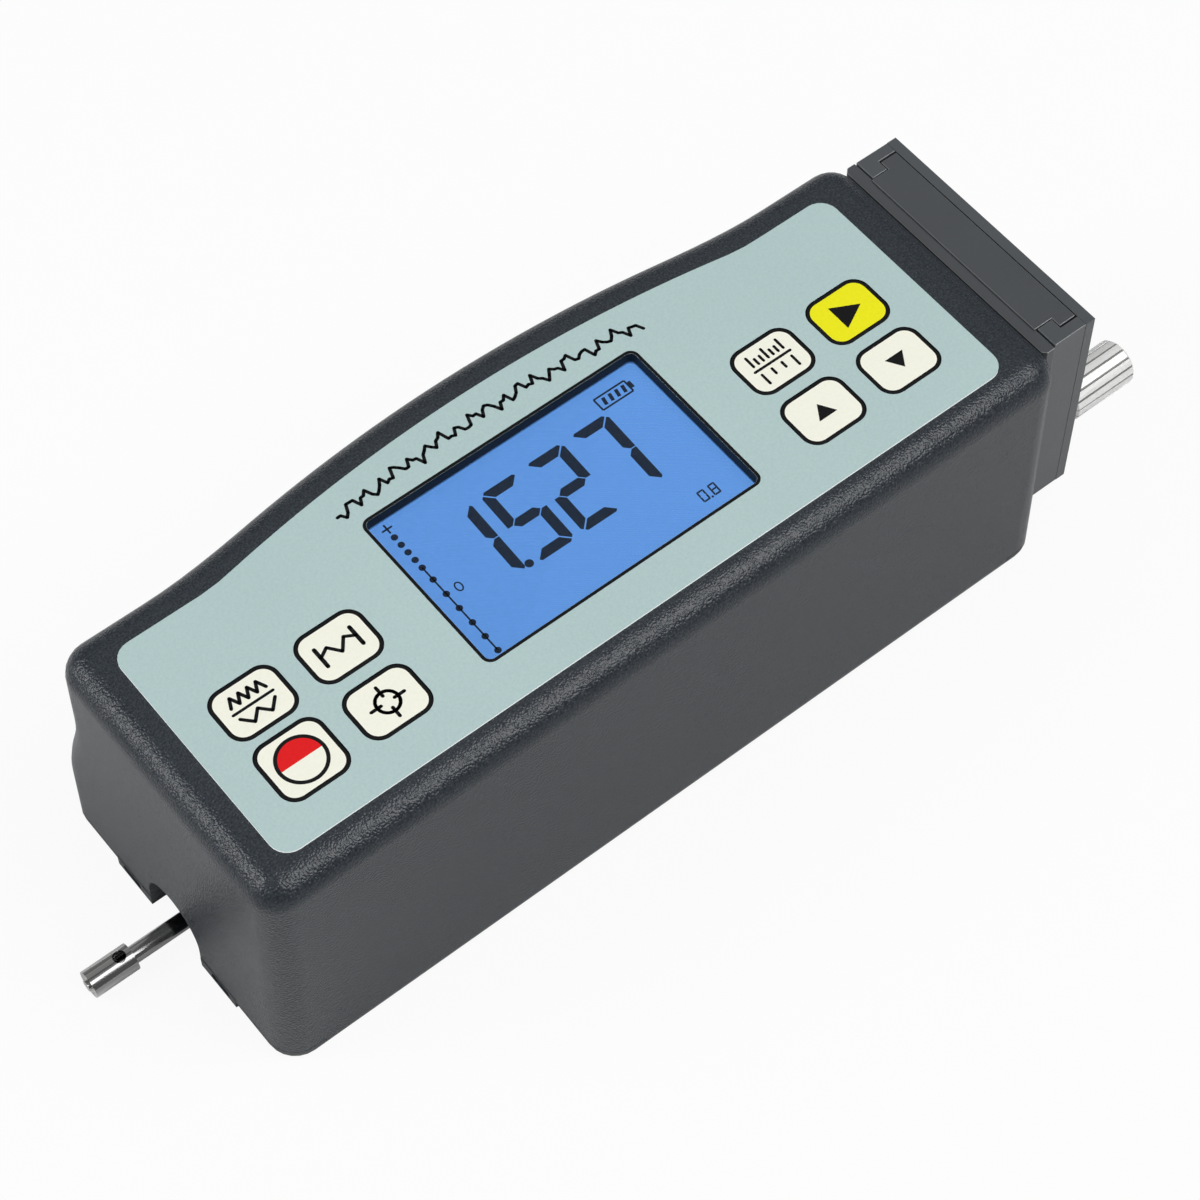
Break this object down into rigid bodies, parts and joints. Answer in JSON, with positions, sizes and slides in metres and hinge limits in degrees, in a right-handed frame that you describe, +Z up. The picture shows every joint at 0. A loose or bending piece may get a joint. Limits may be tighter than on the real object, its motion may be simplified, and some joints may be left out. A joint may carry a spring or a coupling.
{
  "type": "surface roughness tester",
  "caption": "Handheld surface roughness tester with a dark moulded housing, keypad film and display, a driven steel pickup at the front and a clamped height slider at the rear.",
  "frame": {"origin": "on the base plane, under the middle of the housing", "axes": "+X to the rear wall with the height slider, +Y to the scooped far side, +Z up"},
  "size_m": [0.1779, 0.0544, 0.047],
  "materials": {
    "housing_plastic": "fine sand texture",
    "cover_plastic": "smooth moulded",
    "label_film": "satin film",
    "clear_pane": "clear",
    "lcd_glass": "lit blue display",
    "light_guide": "frosted",
    "key_cream": "satin film",
    "key_yellow": "satin film",
    "key_red": "satin film",
    "board_green": "solder mask",
    "switch_black": "moulded",
    "zinc_steel": "zinc plated",
    "battery_wrap": "shrink wrap",
    "frame_alloy": "die cast",
    "carriage_resin": "moulded",
    "gear_brass": "machined",
    "motor_can": "drawn can",
    "probe_steel": "polished",
    "diamond": "ground point",
    "rail_black": "black anodised",
    "slider_black": "black anodised",
    "knob_silver": "turned and knurled",
    "screw_black": "blackened"
  },
  "bodies": {
    "housing": {"main_housing": "housing_plastic", "base_cover": "cover_plastic", "front_label": "label_film", "display_pane": "clear_pane", "lcd_panel": "lcd_glass", "lcd_backlight": "light_guide", "main_board": "board_green", "key_switches": "switch_black", "board_screws": "zinc_steel", "battery_pack": "battery_wrap", "drive_frame": "frame_alloy", "guide_rods": "zinc_steel", "drive_motor": "motor_can", "drive_screws": "zinc_steel", "rail_plate": "rail_black", "rail_screws": "screw_black", "base_screws": "zinc_steel"},
    "carriage": {"drive_carriage": "carriage_resin", "pickup_socket": "carriage_resin", "pickup_tube": "probe_steel", "pickup_nose": "probe_steel", "nose_cap": "probe_steel", "stylus_pin": "zinc_steel"},
    "stylus": {"stylus_lever": "probe_steel", "stylus_tip": "diamond"},
    "screw": {"lead_screw": "zinc_steel", "screw_gear": "gear_brass"},
    "pinion": {"motor_pinion": "gear_brass"},
    "slider": {"near_cheek": "slider_black", "far_cheek": "slider_black", "slider_back_plate": "slider_black", "cheek_screws": "screw_black"},
    "knob": {"clamp_knob": "knob_silver"},
    "power_key": {"power_key": "key_red"},
    "parameter_key": {"parameter_key": "key_cream"},
    "calibrate_key": {"calibrate_key": "key_cream"},
    "cutoff_key": {"cutoff_key": "key_cream"},
    "up_key": {"up_key": "key_cream"},
    "unit_key": {"unit_key": "key_cream"},
    "down_key": {"down_key": "key_cream"},
    "start_key": {"start_key": "key_yellow"}
  },
  "joints": [
    {"name": "traverse", "type": "slide", "parent": "housing", "child": "carriage", "axis": [1, 0, 0], "range_m": [0, 0.0175]},
    {"name": "stylus_pivot", "type": "hinge", "parent": "carriage", "child": "stylus", "pos_m": [-0.0626, 0, 0.0025], "axis": [0, 1, 0], "range_deg": [-0.5, 0.5], "stiffness_Nm_per_rad": 0.01},
    {"name": "screw_turn", "type": "hinge", "parent": "housing", "child": "screw", "pos_m": [-0.033, 0, 0.0126], "axis": [1, 0, 0], "range_deg": [0, 1801]},
    {"name": "pinion_turn", "type": "hinge", "parent": "housing", "child": "pinion", "pos_m": [0.024, 0, 0.02172], "axis": [1, 0, 0], "range_deg": [-3602, 0]},
    {"name": "height_slide", "type": "slide", "parent": "housing", "child": "slider", "axis": [0, 0, 1], "range_m": [-0.0125, 0]},
    {"name": "clamp_turn", "type": "hinge", "parent": "slider", "child": "knob", "pos_m": [0.0787, -0.01755, 0.0175], "axis": [1, 0, 0], "range_deg": [0, 180]},
    {"name": "power_press", "type": "slide", "parent": "housing", "child": "power_key", "axis": [0, 0, -1], "range_m": [0, 0.0003], "stiffness_N_per_m": 1000, "springref_m": -0.0003},
    {"name": "parameter_press", "type": "slide", "parent": "housing", "child": "parameter_key", "axis": [0, 0, -1], "range_m": [0, 0.0003], "stiffness_N_per_m": 1000, "springref_m": -0.0003},
    {"name": "calibrate_press", "type": "slide", "parent": "housing", "child": "calibrate_key", "axis": [0, 0, -1], "range_m": [0, 0.0003], "stiffness_N_per_m": 1000, "springref_m": -0.0003},
    {"name": "cutoff_press", "type": "slide", "parent": "housing", "child": "cutoff_key", "axis": [0, 0, -1], "range_m": [0, 0.0003], "stiffness_N_per_m": 1000, "springref_m": -0.0003},
    {"name": "up_press", "type": "slide", "parent": "housing", "child": "up_key", "axis": [0, 0, -1], "range_m": [0, 0.0003], "stiffness_N_per_m": 1000, "springref_m": -0.0003},
    {"name": "unit_press", "type": "slide", "parent": "housing", "child": "unit_key", "axis": [0, 0, -1], "range_m": [0, 0.0003], "stiffness_N_per_m": 1000, "springref_m": -0.0003},
    {"name": "down_press", "type": "slide", "parent": "housing", "child": "down_key", "axis": [0, 0, -1], "range_m": [0, 0.0003], "stiffness_N_per_m": 1000, "springref_m": -0.0003},
    {"name": "start_press", "type": "slide", "parent": "housing", "child": "start_key", "axis": [0, 0, -1], "range_m": [0, 0.0003], "stiffness_N_per_m": 1000, "springref_m": -0.0003}
  ],
  "couplings": [
    {"joint": "screw_turn", "follows": "traverse", "rad_per_m": 1795.2},
    {"joint": "pinion_turn", "follows": "traverse", "rad_per_m": -3590.4}
  ]
}
